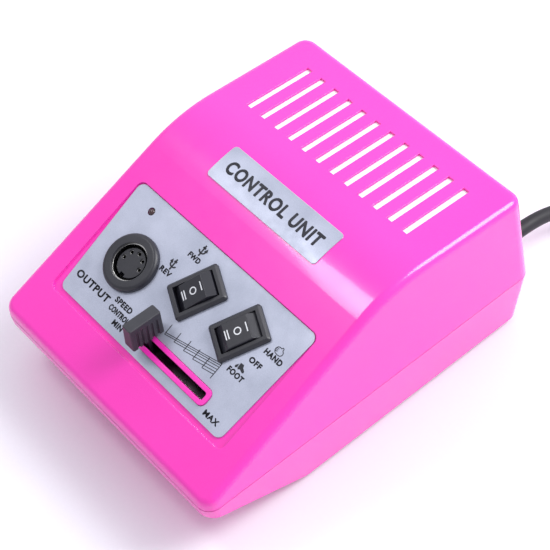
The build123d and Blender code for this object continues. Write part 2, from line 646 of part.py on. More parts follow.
# ---------------------------------------------------------------- power supply
def make_transformer():
    """Laminated core with two windows, winding round the middle leg, strap bracket and screws."""
    window = (CORE_LONG - 4 * CORE_LEG) / 2
    core = Pos(0, 0, CORE_HIGH / 2) * Box(CORE_LONG, CORE_THICK, CORE_HIGH)
    gap_high = CORE_HIGH - 2 * CORE_LEG
    for side in (-1, 1):
        x = side * (CORE_LEG + window / 2)
        core -= Pos(x, 0, CORE_HIGH / 2) * Box(window, CORE_THICK + 2, gap_high)
    bulge = window - 0.3
    winding = Box(2 * CORE_LEG + 2 * bulge, CORE_THICK + 2 * bulge, gap_high - 0.4)
    winding = fillet(winding.edges().filter_by(Axis.Z), 4.0) - Box(2 * CORE_LEG, CORE_THICK, gap_high)
    t = BRACKET_THICK
    strap = Box(CORE_LONG + 2 * t, BRACKET_WIDE, CORE_HIGH + t)
    strap = Pos(0, 0, (CORE_HIGH + t) / 2) * strap - Pos(0, 0, CORE_HIGH / 2) * Box(CORE_LONG, 99, CORE_HIGH)
    for side in (-1, 1):
        foot = Pos(side * (CORE_LONG / 2 + 6.5), 0, -t / 2) * Box(13.0, BRACKET_WIDE, t)
        strap += foot - Pos(side * BRACKET_X, 0, -t / 2) * Cylinder(1.8, 2 * t)
    place = Pos(0, CORE_Y, CORE_Z)
    screw = drum(1.5, t + 6.0, -t - 6.0) + drum(2.8, 1.8, 0)
    save("transformer_core", place * core)
    save("transformer_winding", place * Pos(0, 0, CORE_HIGH / 2) * winding)
    save("transformer_bracket", place * strap)
    save("transformer_screws", Compound([place * Pos(x, 0, 0) * screw for x in (-BRACKET_X, BRACKET_X)]))


def make_board():
    """Circuit board with its screws, rectifier, capacitors, heat sink and regulator."""
    board = Pos(0, BOARD_Y, BOARD_Z - BOARD_THICK / 2) * Box(BOARD_LONG, BOARD_DEEP, BOARD_THICK)
    screws = []
    for x, y in board_post_places():
        board -= Pos(x, y, BOARD_Z) * Cylinder(1.6, 6)
        screws.append(Pos(x, y, BOARD_Z) * (drum(1.2, 8.0, -7.5) + drum(BOARD_HEAD_R, 1.6)))
    bridge = Pos(RECTIFIER_X, PARTS_Y, BOARD_Z) * Pos(0, 0, 9.5) * Box(20, 3.6, 15)
    for i in range(4):
        bridge += Pos(RECTIFIER_X + (i - 1.5) * 5.08, PARTS_Y, BOARD_Z + 1.0) * Box(0.8, 0.8, 2.0)
    cans = [Pos(x, PARTS_Y, BOARD_Z) * fillet(drum(CAN_R, 16).edges(), 0.5) for x in CAN_X]
    sink = Pos(SINK_X, PARTS_Y, BOARD_Z + 11) * Box(22, 2.0, 22)
    for i in range(5):
        sink += Pos(SINK_X + (i - 2) * 5.0, PARTS_Y + 4.5, BOARD_Z + 11) * Box(1.2, 7.0, 22)
    sink -= Pos(SINK_X, PARTS_Y, BOARD_Z + 16) * Rot(90, 0, 0) * Cylinder(1.45, 4)
    front = PARTS_Y - 1.0
    chip = Pos(SINK_X, front - 0.65, BOARD_Z + 12) * Box(10, 1.3, 15)
    chip += Pos(SINK_X, front - 2.3, BOARD_Z + 8.5) * Box(10, 4.6, 8)
    for i in range(3):
        chip += Pos(SINK_X + (i - 1) * 2.54, front - 2.3, BOARD_Z + 2.3) * Box(0.8, 0.6, 4.6)
    chip -= Pos(SINK_X, front, BOARD_Z + 16) * Rot(90, 0, 0) * Cylinder(1.5, 12)
    screw = Rot(90, 0, 0) * (drum(1.4, 4.2, -2.6) + drum(2.6, 1.8, 1.3))
    save("circuit_board", board)
    save("board_screws", Compound(screws))
    save("rectifier", bridge)
    save("capacitors", Compound(cans))
    save("heat_sink", sink)
    save("regulator", chip)
    save("regulator_screw", Pos(SINK_X, front, BOARD_Z + 16) * screw)


# ---------------------------------------------------------------- rear fittings
def make_rear_fittings():
    """Fuse holder with its cap and fuse, pedal jack, and the cord's strain relief."""
    fuse = rear_places()["fuse"]
    wall_in = -REAR_PAD
    body = drum(FUSE_R, 30, -29) + drum(FUSE_R + 1.6, 2.0, 0.0)
    body -= drum(FUSE_BORE_R, 29, -26)
    cap = drum(FUSE_R - 0.6, 7.0, 2.3) + drum(FUSE_BORE_R - 0.4, 4.0, -1.5)
    cap = fillet(cap.edges().sort_by(Axis.Z)[-1], 0.8) - Pos(0, 0, 9.3) * Box(8.0, 1.4, 2.4)
    link = drum(2.6, FUSE_LINK_LONG, -1.5 - FUSE_LINK_LONG)
    nut = extrude(RegularPolygon(FUSE_R + 2.6, 6), 3.0) - drum(FUSE_R + 0.05, 9, -2)
    save("fuse_holder_body", fuse * body)
    save("fuse_holder_nut", fuse * Pos(0, 0, wall_in - 3.0) * nut)
    save("fuse_cap", fuse * cap)
    save("fuse_link", fuse * link)
    jack = rear_places()["jack"]
    barrel = Pos(0, 0, wall_in - 11) * Box(15, 15, 22) + drum(JACK_THREAD_R, 4.2 - wall_in, wall_in)
    barrel -= drum(JACK_BORE_R, JACK_BORE_LONG, 4.2 - JACK_BORE_LONG)
    ring = extrude(RegularPolygon(JACK_THREAD_R + 2.2, 6), 2.2) - drum(JACK_THREAD_R + 0.05, 9, -2)
    save("pedal_jack_body", jack * barrel)
    save("pedal_jack_nut", jack * Pos(0, 0, 0.2) * ring)
    gland = rear_places()["cord"]
    tail = Pos(0, 0, 2.0) * loft([Circle(5.4), Pos(0, 0, REAR_REACH - 2.0) * Circle(4.1)], ruled=True)
    for i in range(3):
        tail -= tube(7.0, 4.3 - 0.2 * i, 1.0, 4.0 + 2.6 * i)
    relief = tail + drum(CORD_HOLE_R + 1.6, 2.0) + drum(CORD_HOLE_R, 9.0, -9.0)
    relief += drum(CORD_HOLE_R + 1.0, 3.0, wall_in - 3.2)
    save("cord_strain_relief", gland * relief)


# ---------------------------------------------------------------- mains cord
def cord_route(points, label):
    """Path of straight runs and tangent arcs; each arc is as large as its two runs allow."""
    radii = []
    for a, b, c in zip(points, points[1:], points[2:]):
        before = Vector(*b) - Vector(*a)
        after = Vector(*c) - Vector(*b)
        turn = math.radians(before.get_angle(after))
        radii.append(0.45 * min(before.length, after.length) / math.tan(turn / 2))
    print(label, "arc radii:", [round(r) for r in radii])
    return FilletPolyline(*points, radius=radii)


def make_cord_tube(name, points):
    """Round tube along a route, with its volume compared with section times length."""
    path = cord_route(points, name)
    ahead = Vector(*points[1]) - Vector(*points[0])
    section = Plane(origin=points[0], z_dir=ahead) * Circle(CORD_R)
    solid = sweep(section, path=path)
    print(name, "length", round(path.length, 1), "volume ratio", round(solid.volume / (math.pi * CORD_R**2 * path.length), 4))
    save(name, solid)


def make_mains_cord():
    """Cord from the strain relief to a coil on the desk, then on to a two-pin plug."""
    make_cord_tube("power_cord", CORD_POINTS)
    make_cord_tube("power_cord_end", TAIL_POINTS)
    width = COIL_RINGS * CORD_R
    ring = tube(COIL_R + width, COIL_R - width, COIL_LAYERS * 2 * CORD_R)
    coil = Pos(*COIL_CENTRE, 0) * ring
    lead = drum(CORD_R - 0.1, COIL_LEAD)
    lead_in = Pos(COIL_SIDE_X, COIL_CENTRE[1] - COIL_LEAD, CORD_R) * Rot(-90, 0, 0)
    lead_out = Pos(COIL_SIDE_X, COIL_CENTRE[1], COIL_TOP_Z) * Rot(-90, 0, 0)
    coil = coil + lead_in * lead + lead_out * lead
    save("power_cord_coil", coil)
    end, before = Vector(*TAIL_POINTS[-1]), Vector(*TAIL_POINTS[-2])
    place = Plane(origin=end, x_dir=(0, 0, 1), z_dir=end - before).location
    body = Pos(0, 0, PLUG_LONG / 2) * Box(PLUG_HIGH, PLUG_WIDE, PLUG_LONG)
    body = fillet(body.edges().filter_by(Axis.Z), 5.0)
    body = chamfer(body.faces().sort_by(Axis.Z)[0].edges(), 3.0)
    pins = []
    for side in (-1, 1):
        spot = Pos(0, side * PIN_SPACING / 2, PLUG_LONG)
        body -= spot * drum(PIN_ROOT_R, PIN_ROOT_LONG + 4, -PIN_ROOT_LONG)
        pin = fillet(drum(PIN_R, PIN_LONG).edges().sort_by(Axis.Z)[-1], 0.9)
        pins.append(spot * (pin + drum(PIN_ROOT_R, PIN_ROOT_LONG + 1, -PIN_ROOT_LONG)))
    save("plug_body", place * body)
    save("plug_pins", place * Compound(pins))


# ---------------------------------------------------------------- build
save("upper_shell", make_upper_shell())
save("base_shell", make_base_shell())
for foot_name, spot in foot_places().items():
    save(foot_name, Pos(*spot, 0) * make_foot())
save("case_screws", make_case_screws())
save("face_plate", make_face_plate())
save("name_plate", make_name_plate())
save("dust_filter", make_dust_filter())
make_socket()
make_switch("direction_switch", DIRECTION_AT, -ROCKER_THROW)
make_switch("mode_switch", MODE_AT, 0.0)
make_speed_slider()
make_lamp()
make_transformer()
make_board()
make_rear_fittings()
make_mains_cord()
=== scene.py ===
"""Control box of an electric nail drill: finishes, printed marks, mains cord, plug, desk, lights and camera.

Places are in millimetres in the part's own frame, and MM turns them into metres.
"""

import json
import math

import bpy
import numpy as np
from mathutils import Matrix, Vector


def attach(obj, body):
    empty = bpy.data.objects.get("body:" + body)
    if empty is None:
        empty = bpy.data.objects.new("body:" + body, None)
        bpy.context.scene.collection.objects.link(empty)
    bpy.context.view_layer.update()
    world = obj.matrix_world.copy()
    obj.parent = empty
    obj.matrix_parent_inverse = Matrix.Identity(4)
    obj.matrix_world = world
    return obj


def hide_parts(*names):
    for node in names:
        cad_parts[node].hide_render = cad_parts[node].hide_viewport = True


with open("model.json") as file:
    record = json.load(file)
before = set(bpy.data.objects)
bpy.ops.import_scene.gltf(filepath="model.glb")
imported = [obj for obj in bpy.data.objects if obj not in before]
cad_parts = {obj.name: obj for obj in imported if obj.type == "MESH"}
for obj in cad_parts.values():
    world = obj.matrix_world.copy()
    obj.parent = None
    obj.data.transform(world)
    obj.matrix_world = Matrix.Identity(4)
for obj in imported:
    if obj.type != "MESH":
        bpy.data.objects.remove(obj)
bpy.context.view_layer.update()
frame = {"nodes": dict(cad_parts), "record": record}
MM = 0.001

# ---------------------------------------------------------------- places on the box
SLOPE = math.radians(25.9)
PANEL_MIDDLE = (0.0, -45.28, 51.53)
PLATE_FACE = -0.4               # face plate's outer face, from the panel's surface
SWITCH_TURN = math.radians(62.0)
ROCKER_PIVOT = -1.0             # from the face plate
ROCKER_TOP = 3.1
DIRECTION_AT = (1.1, 7.9)
MODE_AT = (25.6, 7.4)
DIRECTION_REST = math.radians(-11.0)
INK = 0.035                     # thickness of a printed mark


def panel_place(u, v, w=0.0, turn=0.0):
    """Matrix of a place on the sloping panel, in millimetres: u right, v up the slope, w out of it."""
    along = Vector((1.0, 0.0, 0.0))
    up_slope = Vector((0.0, math.cos(SLOPE), math.sin(SLOPE)))
    out = Vector((0.0, -math.sin(SLOPE), math.cos(SLOPE)))
    axes = Matrix((along, up_slope, out)).transposed().to_4x4()
    where = Vector(PANEL_MIDDLE) + along * u + up_slope * v + out * w
    return Matrix.Translation(where) @ axes @ Matrix.Rotation(turn, 4, "Z")


def rocker_place(at, rest):
    """Matrix of a rocker's flat top, turned about its pivot to where it rests."""
    pivot = Matrix.Translation((0.0, 0.0, ROCKER_PIVOT))
    back = Matrix.Translation((0.0, 0.0, ROCKER_TOP - ROCKER_PIVOT))
    return panel_place(*at, PLATE_FACE, SWITCH_TURN) @ pivot @ Matrix.Rotation(rest, 4, "Y") @ back


# ---------------------------------------------------------------- camera
CAMERA_AT = (0.322489, -0.239058, 0.528606)         # metres
CAMERA_RIGHT = Vector((0.648354, 0.759047, -0.059039))
CAMERA_UP = Vector((-0.568405, 0.534185, 0.625749))
SENSOR = 36.0
LENS = 110.28
CLIP = (0.05, 20.0)


def make_camera():
    """Camera above and to the right of the front, a long lens with a small roll."""
    data = bpy.data.cameras.new("studio_camera")
    data.sensor_width = SENSOR
    data.lens = LENS
    data.clip_start, data.clip_end = CLIP
    camera = bpy.data.objects.new("studio_camera", data)
    axes = Matrix((CAMERA_RIGHT, CAMERA_UP, CAMERA_RIGHT.cross(CAMERA_UP)))
    camera.matrix_world = axes.transposed().to_4x4()
    camera.location = CAMERA_AT
    bpy.context.scene.collection.objects.link(camera)
    bpy.context.scene.camera = camera


# ---------------------------------------------------------------- mains cord
CORD_R = 3.0
CORD_OUT = [
    (40, 85.75, 20), (40, 98, 20), (41, 114, 13.8), (45.5, 129, 6.5),
    (51.5, 143, 3), (56, 158.5, 3), (56, 174, 3),
]
CORD_TAIL = [(56, 222, 9), (56, 230, 9), (56, 239.5, 6.7), (56, 247.5, 6.7)]
CORD_ORDER = 3                  # of the spline
CORD_STEPS = 6                  # lengthways, from one point to the next
CORD_SIDES = 5                  # round the cord, Blender's own measure
COIL_MIDDLE = (16.0, 209.0)     # 11 mm from its solid's middle, further behind the box
COIL_TURNS = 5
TURN_POINTS = 16
# turns wound so far, with the coil's radius and height there: in along the desk, up, and out on top
COIL_TURN = (0.0, 2.0, 2.25, 2.5, 2.75, 3.0, 5.0)
COIL_RADIUS = (42.0, 30.0, 28.5, 27.0, 28.5, 30.0, 42.0)
COIL_HEIGHT = (3.0, 3.0, 3.7, 6.0, 8.3, 9.0, 9.0)


def coil_points():
    """Points of the coil's turns, anticlockwise from above.

    The angle grows evenly; radius and height follow the table. The radius is a little larger than the
    turn, because the spline passes inside its points.
    """
    turned = np.linspace(0.0, COIL_TURNS, COIL_TURNS * TURN_POINTS + 1)
    angle = 2 * math.pi * turned
    radius = np.interp(turned, COIL_TURN, COIL_RADIUS) / math.cos(math.pi / TURN_POINTS)
    x = COIL_MIDDLE[0] + radius * np.cos(angle)
    y = COIL_MIDDLE[1] + radius * np.sin(angle)
    return np.stack([x, y, np.interp(turned, COIL_TURN, COIL_HEIGHT)], axis=1)


def make_cord():
    """Mains cord as one round spline: down to the desk, into the coil, and out to the plug."""
    points = np.concatenate([np.array(CORD_OUT, float), coil_points(), np.array(CORD_TAIL, float)]) * MM
    curve = bpy.data.curves.new("mains_cord", "CURVE")
    curve.dimensions = "3D"
    curve.resolution_u = CORD_STEPS
    curve.bevel_depth = 1.0                 # the points' radius carries the size
    curve.bevel_resolution = CORD_SIDES
    curve.use_fill_caps = True
    spline = curve.splines.new("NURBS")
    spline.points.add(len(points) - 1)
    weighted = np.column_stack([points, np.ones(len(points))])
    spline.points.foreach_set("co", weighted.astype(np.float32).ravel())
    spline.points.foreach_set("radius", np.full(len(points), CORD_R * MM, np.float32))
    spline.order_u = CORD_ORDER
    spline.use_endpoint_u = True
    cord = bpy.data.objects.new("mains_cord", curve)
    bpy.context.scene.collection.objects.link(cord)
    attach(cord, "case")
    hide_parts("power_cord", "power_cord_coil", "power_cord_end")
    return cord


# ---------------------------------------------------------------- meshes from arrays
def new_piece(name, points, faces, body):
    """Flat-faced mesh from an array of points in millimetres and an array of faces, riding on a body."""
    mesh = bpy.data.meshes.new(name)
    mesh.from_pydata((np.asarray(points, float) * MM).tolist(), [], np.asarray(faces, int).tolist())
    mesh.update()
    piece = bpy.data.objects.new(name, mesh)
    bpy.context.scene.collection.objects.link(piece)
    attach(piece, body)
    return piece


def joined(parts):
    """Several (points, faces) pairs as one, each part's faces counted on from the last part's points."""
    starts = np.cumsum([0] + [len(points) for points, _ in parts])
    faces = [part_faces + start for (_, part_faces), start in zip(parts, starts)]
    return np.concatenate([points for points, _ in parts]), np.concatenate(faces)


def placed(part, matrix):
    """A (points, faces) pair moved by a 4 by 4 matrix."""
    points, faces = part
    turn = np.array(matrix, float)
    return points @ turn[:3, :3].T + turn[:3, 3], faces


def moved(part, u, v):
    """A flat (points, faces) pair moved in its own plane."""
    points, faces = part
    return points + np.array([u, v, 0.0]), faces


def flat_fill(curve):
    """Points and triangles of a filled flat curve with its own thickness."""
    draft = bpy.data.objects.new("draft", curve)
    bpy.context.scene.collection.objects.link(draft)
    bpy.context.view_layer.update()
    mesh = bpy.data.meshes.new_from_object(draft.evaluated_get(bpy.context.evaluated_depsgraph_get()))
    points = np.empty(len(mesh.vertices) * 3)
    mesh.vertices.foreach_get("co", points)
    mesh.calc_loop_triangles()
    triangles = np.empty(len(mesh.loop_triangles) * 3, int)
    mesh.loop_triangles.foreach_get("vertices", triangles)
    bpy.data.objects.remove(draft)
    bpy.data.meshes.remove(mesh)
    bpy.data.curves.remove(curve)
    return points.reshape(-1, 3), triangles.reshape(-1, 3)


def fitted(part, left, right, middle, height):
    """A flat part stretched to lie from left to right and to the given height about its middle line."""
    points, faces = part
    low, high = points.min(0), points.max(0)
    size = np.array([right - left, height, INK])
    start = np.array([left, middle - height / 2, 0.0])
    return (points - low) / (high - low) * size + start, faces


BOLD = 0.11                     # how far each copy of a word is moved to thicken its strokes
LETTER_SPACING = 1.12
LETTER_SWELL = 0.015            # of the letter's own size, and past this the strokes break up
LETTER_STEPS = 4                # in a letter's curves
DRAFT_DEPTH = 0.5               # any thickness, which is fitted to INK


def lettering(words, left, right, middle, height, bold=BOLD):
    """Words in plain sans letters fitted between two ends: four copies, moved by bold to thicken them."""
    curve = bpy.data.curves.new("letters", "FONT")
    curve.body = words
    curve.offset = LETTER_SWELL
    curve.extrude = DRAFT_DEPTH
    curve.resolution_u = LETTER_STEPS
    curve.space_character = LETTER_SPACING
    word = fitted(flat_fill(curve), left, right, middle, height)
    return joined([moved(word, u, v) for u, v in ((bold, 0.0), (-bold, 0.0), (0.0, bold), (0.0, -bold))])


def filled_shape(*outlines):
    """Flat shape between closed outlines of straight edges; an outline inside another is a hole."""
    curve = bpy.data.curves.new("shape", "CURVE")
    curve.dimensions = "2D"
    curve.fill_mode = "BOTH"
    curve.extrude = INK / 2
    for outline in outlines:
        points = np.zeros((len(outline), 4))
        points[:, :2] = outline
        points[:, 3] = 1.0
        spline = curve.splines.new("POLY")
        spline.points.add(len(points) - 1)
        spline.points.foreach_set("co", points.astype(np.float32).ravel())
        spline.use_cyclic_u = True
    points, faces = flat_fill(curve)
    return points + np.array([0.0, 0.0, INK / 2]), faces


BOX_FACES = np.array([(0, 3, 2, 1), (4, 5, 6, 7), (0, 1, 5, 4), (1, 2, 6, 5), (2, 3, 7, 6), (3, 0, 4, 7)])
BOX_TRIANGLES = np.concatenate([BOX_FACES[:, [0, 1, 2]], BOX_FACES[:, [0, 2, 3]]])


def strokes(lines, width):
    """Thin bar for each line (u0, v0, u1, v1): its ends moved half a width to each side, INK thick."""
    lines = np.asarray(lines, float)
    a, b = lines[:, :2], lines[:, 2:]
    along = (b - a) / np.linalg.norm(b - a, axis=1, keepdims=True)
    side = np.stack([-along[:, 1], along[:, 0]], axis=1) * width / 2
    ring = np.stack([a - side, b - side, b + side, a + side], axis=1)
    corners = np.zeros((len(lines), 8, 3))
    corners[:, :4, :2] = ring
    corners[:, 4:, :2] = ring
    corners[:, 4:, 2] = INK
    faces = BOX_TRIANGLES[None] + 8 * np.arange(len(lines))[:, None, None]
    return corners.reshape(-1, 3), faces.reshape(-1, 3)


def ring_band(outer, inner, start=0.0, end=360.0, squeeze=1.0, steps=32):
    """Outline pair, or one open band, between two radii; squeeze flattens it along v."""
    angle = np.radians(np.linspace(start, end, steps + 1))
    circle = np.stack([np.cos(angle), squeeze * np.sin(angle)], axis=1)
    if end - start >= 360.0:
        return [outer * circle[:-1], inner * circle[:-1]]
    return [np.concatenate([outer * circle, inner * circle[::-1]])]


# ---------------------------------------------------------------- printed marks
WORDS = [
    # words, left, right, middle line, letter height
    ("OUTPUT", -44.9, -26.0, -16.3, 2.9),
    ("SPEED", -24.0, -14.9, -13.7, 2.2),
    ("CONTROL", -24.0, -13.2, -17.35, 2.2),
    ("MIN", -18.4, -13.1, -20.7, 2.1),
    ("REV", -18.3, -12.7, 5.8, 2.0),
    ("FWD", -12.9, -6.9, 16.5, 2.0),
    ("FOOT", 30.9, 38.7, -4.15, 2.1),
    ("OFF", 35.0, 40.8, 3.5, 2.1),
    ("HAND", 37.5, 46.1, 9.2, 2.1),
    ("MAX", 35.2, 42.6, -21.1, 2.1),
]
TICKS = [
    (1.75, -6.65, 1.9, -11.1), (6.9, -6.7, 7.1, -10.9), (12.3, -6.35, 12.45, -10.75),
    (17.4, -6.3, 17.6, -10.6), (22.55, -6.1, 22.75, -10.55), (28.0, -4.6, 28.15, -11.3),
]
TICK_WIDTH = 0.34
GRAPH_RISE = 0.216
GRAPH_END = 28.05
GRAPH_STARTS = [
    (1.85, -10.35), (1.85, -11.05), (7.1, -10.75), (12.45, -10.65), (17.6, -10.6), (22.75, -10.55),
]
GRAPH_WIDTH = 0.28

REVERSE_AT = (-14.84, 9.6)
FORWARD_AT = (-9.26, 20.4)
SHAFT_LINES = [(0.0, -2.4, 0.0, 2.4), (-0.75, 1.25, 0.75, 1.25)]
SHAFT_WIDTH = 0.7
ARROW_BAND = dict(outer=1.8, inner=1.05, start=190.0, end=395.0, squeeze=0.75, steps=20)
ARROW_TIP = [(0.6, 0.15), (2.35, 0.3), (1.6, 1.75)]

HAND_AT = (42.0, 12.2)
HAND_LINE = [
    (-1.9, 0.1), (-1.5, 0.95), (-0.7, 1.25), (0.1, 1.15), (0.35, 1.75), (0.95, 1.6), (1.0, 0.8),
    (1.75, 0.35), (1.9, -0.5), (1.35, -1.3), (0.2, -1.5), (-1.1, -1.3), (-1.75, -0.7), (-1.9, 0.1),
]
HAND_WIDTH = 0.32
FINGER_LINES = [(-1.75, 0.45, -0.6, 0.5), (-1.9, -0.1, -0.65, -0.05), (-1.75, -0.65, -0.6, -0.55)]
FINGER_WIDTH = 0.26

FOOT_AT = (34.6, -1.4)
SHOE = [
    (-0.9, 1.25), (0.35, 1.35), (0.75, 0.55), (1.75, 0.0), (1.85, -0.55), (1.35, -0.75),
    (0.2, -0.35), (-0.35, -0.75), (-0.75, -0.45),
]
PEDAL = [(-1.9, -0.35), (-1.15, 0.75), (-0.95, -0.4), (-1.5, -0.9)]
FOOT_GROWTH = 1.25


def enlarged(part, factor):
    """A flat (points, faces) pair made larger about its own zero point, its thickness kept."""
    points, faces = part
    return points * np.array([factor, factor, 1.0]), faces


def turn_arrow(mirror):
    """Small shaft with a curved arrow that goes round it; mirror is 1 or -1 for the way it turns."""
    shaft = strokes(SHAFT_LINES, SHAFT_WIDTH)
    band = filled_shape(*ring_band(**ARROW_BAND))
    points, faces = joined([shaft, band, filled_shape(ARROW_TIP)])
    return points * np.array([mirror, 1.0, 1.0]), faces[:, ::mirror]


def make_panel_print():
    """Black print of the face plate: words, speed graph, turning arrows, foot and hand."""
    graph = [(u, v, GRAPH_END, v + GRAPH_RISE * (GRAPH_END - u)) for u, v in GRAPH_STARTS]
    parts = [lettering(*row) for row in WORDS] + [
        strokes(TICKS, TICK_WIDTH),
        strokes(graph, GRAPH_WIDTH),
        moved(turn_arrow(-1), *REVERSE_AT),
        moved(turn_arrow(1), *FORWARD_AT),
        moved(enlarged(filled_shape(SHOE), FOOT_GROWTH), *FOOT_AT),
        moved(enlarged(filled_shape(PEDAL), FOOT_GROWTH), *FOOT_AT),
        moved(strokes(np.column_stack([HAND_LINE[:-1], HAND_LINE[1:]]), HAND_WIDTH), *HAND_AT),
        moved(strokes(FINGER_LINES, FINGER_WIDTH), *HAND_AT),
    ]
    points, faces = placed(joined(parts), panel_place(0.0, 0.0, PLATE_FACE))
    return new_piece("panel_print", points, faces, "case")


MARK_LONG = 3.7
MARK_WIDE = 0.42
BAR_PLACES = (-4.45, -3.4, 3.95)        # two bars of the II and the one of the I
BAR_MIDDLE = 0.25
RING_OUTER = 1.5
RING_INNER = 1.06
RING_AT = (0.3, 0.1)


def make_rocker_marks(name, body, at, rest):
    """White I, O and II on a rocker's flat top, their strokes across the rocker."""
    low, high = BAR_MIDDLE - MARK_LONG / 2, BAR_MIDDLE + MARK_LONG / 2
    bars = strokes([(s, low, s, high) for s in BAR_PLACES], MARK_WIDE)
    ring = moved(filled_shape(*ring_band(RING_OUTER, RING_INNER)), *RING_AT)
    points, faces = placed(joined([bars, ring]), rocker_place(at, rest))
    return new_piece(name, points, faces, body)


BADGE_WORDS = ("CONTROL UNIT", -25.5, 25.5, 0.0, 5.4, 0.16)
BADGE_BACK = 0.45               # y of the small plate's middle
BADGE_THICK = 0.4
BADGE_INK = 0.1                 # more than the arc rises under a letter's flat faces
CREASE_RADIUS = 60.0
CREASE_Y = 2.85
CREASE_Z = 74.9
TOP_FALL = math.radians(2.9)


def crease_middle():
    """Centre of the crease's arc as (y, z): back from the sharp corner along the line that halves it."""
    lean = (SLOPE - TOP_FALL) / 2
    reach = CREASE_RADIUS / math.cos((SLOPE + TOP_FALL) / 2)
    return CREASE_Y + reach * math.sin(lean), CREASE_Z - reach * math.cos(lean)


def make_badge_print():
    """Plain words on the small plate, each point carried round the crease's arc by its distance along it."""
    points, faces = lettering(*BADGE_WORDS)
    y, z = crease_middle()
    radius = CREASE_RADIUS + BADGE_THICK + points[:, 2] * BADGE_INK / INK
    angle = math.asin((BADGE_BACK - y) / CREASE_RADIUS) + points[:, 1] / (CREASE_RADIUS + BADGE_THICK)
    bent = np.stack([points[:, 0], y + radius * np.sin(angle), z + radius * np.cos(angle)], axis=1)
    return new_piece("badge_print", bent, faces, "case")


# ---------------------------------------------------------------- nodes
WHITE = (1.0, 1.0, 1.0, 1.0)
COLOUR_A, COLOUR_B, COLOUR_OUT = 6, 7, 2        # sockets of a Mix node set to colour
NUMBER_A, NUMBER_B = 2, 3                       # and of one set to a number


def add(tree, kind, values=None, **settings):
    """Adds a node. Each value sets the input of that name or number, and a socket is linked to it."""
    made = tree.nodes.new(kind)
    for name, value in settings.items():
        setattr(made, name, value)
    for key, value in (values or {}).items():
        if isinstance(value, bpy.types.NodeSocket):
            tree.links.new(value, made.inputs[key])
        else:
            made.inputs[key].default_value = value
    return made


def noise(tree, place, scale, detail):
    """Output of a noise pattern."""
    return add(tree, "ShaderNodeTexNoise", {"Vector": place, "Scale": scale, "Detail": detail}).outputs[0]


def combined(tree, operation, first, second, **settings):
    """Output of a sum, a product or another operation on two numbers."""
    return add(tree, "ShaderNodeMath", {0: first, 1: second}, operation=operation, **settings).outputs[0]


def ranged(tree, value, start, end, low=0.0, high=1.0, **settings):
    """Output that goes from low to high as the value goes from start to end, and stays level past them."""
    values = {0: value, 1: start, 2: end, 3: low, 4: high}
    return add(tree, "ShaderNodeMapRange", values, **settings).outputs[0]


def colour_mix(tree, amount, first, second):
    """Output that goes from the first colour to the second as the amount goes from 0 to 1."""
    values = {0: amount, COLOUR_A: first, COLOUR_B: second}
    return add(tree, "ShaderNodeMix", values, data_type="RGBA").outputs[COLOUR_OUT]


def effect(name, takes, gives):
    """New shader node group with its inputs and outputs; returns the group, its inputs and its outputs."""
    group = bpy.data.node_groups.new(name, "ShaderNodeTree")
    for label, kind, start in takes:
        socket = group.interface.new_socket(name=label, in_out="INPUT", socket_type="NodeSocket" + kind)
        if start is not None:
            socket.default_value = start
    for label, kind in gives:
        group.interface.new_socket(name=label, in_out="OUTPUT", socket_type="NodeSocket" + kind)
    source = group.nodes.new("NodeGroupInput").outputs
    sink = group.nodes.new("NodeGroupOutput").inputs
    return group, source, sink


# ---------------------------------------------------------------- shared effects
def cloudy_mask(group, source):
    """Broad clouds with a fine speckle on top: the sum of two noises, cut between two levels."""
    broad = noise(group, source["Place"], source["Clouds"], 3.0)
    fine = noise(group, source["Place"], source["Speckle"], 2.0)
    return ranged(group, combined(group, "ADD", broad, fine), 0.75, 1.25)


def striped_mask(group, source):
    """Even bands along one axis, such as stacked sheets or wound tape, made a little uneven by noise."""
    values = {"Vector": source["Place"], "Scale": source["Clouds"], "Distortion": 0.4, "Detail Scale": 3.0}
    wave = add(group, "ShaderNodeTexWave", values, bands_direction="Y").outputs["Fac"]
    fine = noise(group, source["Place"], source["Speckle"], 2.0)
    return combined(group, "MULTIPLY", wave, fine)


def fibre_mask(group, source):
    """Tangled fibres: the thin cell borders of a wide and a fine pattern laid over each other."""
    wide, fine = (
        add(group, "ShaderNodeTexVoronoi", {"Vector": source["Place"], "Scale": source[scale]},
            feature="DISTANCE_TO_EDGE").outputs[0]
        for scale in ("Clouds", "Speckle")
    )
    return ranged(group, combined(group, "MINIMUM", wide, fine), 0.0, 0.12, 1.0, 0.0)


def tint_effect(name, mask):
    """Two tints mixed by a mask: the deep tint where it is 0, the tint where it is 1."""
    group, source, sink = effect(
        name,
        [("Place", "Vector", None), ("Clouds", "Float", 40.0), ("Speckle", "Float", 2500.0),
         ("Tint", "Color", WHITE), ("Deep tint", "Color", WHITE)],
        [("Colour", "Color")],
    )
    mix = colour_mix(group, mask(group, source), source["Deep tint"], source["Tint"])
    group.links.new(mix, sink["Colour"])
    return group


def moulded_skin():
    """Roughness that drifts between shiny and dull, and the height of a fine grain over long soft waves."""
    group, source, sink = effect(
        "moulded_skin",
        [("Place", "Vector", None), ("Grain", "Float", 3000.0), ("Waves", "Float", 120.0),
         ("Shiny", "Float", 0.3), ("Dull", "Float", 0.4), ("Wave share", "Float", 0.3)],
        [("Roughness", "Float"), ("Height", "Float")],
    )
    grain = noise(group, source["Place"], source["Grain"], 3.0)
    waves = noise(group, source["Place"], source["Waves"], 2.0)
    rough = ranged(group, waves, 0.3, 0.7, source["Shiny"], source["Dull"])
    height = add(group, "ShaderNodeMix", {0: source["Wave share"], NUMBER_A: grain, NUMBER_B: waves},
                 data_type="FLOAT")
    group.links.new(rough, sink["Roughness"])
    group.links.new(height.outputs[0], sink["Height"])
    return group


BEVEL_SAMPLES = 4
WEAR_SCALE = 350.0              # of the noise that breaks up a rubbed edge
FULL_WEAR = 0.75                # cosine of the turn at which an edge counts as fully rubbed


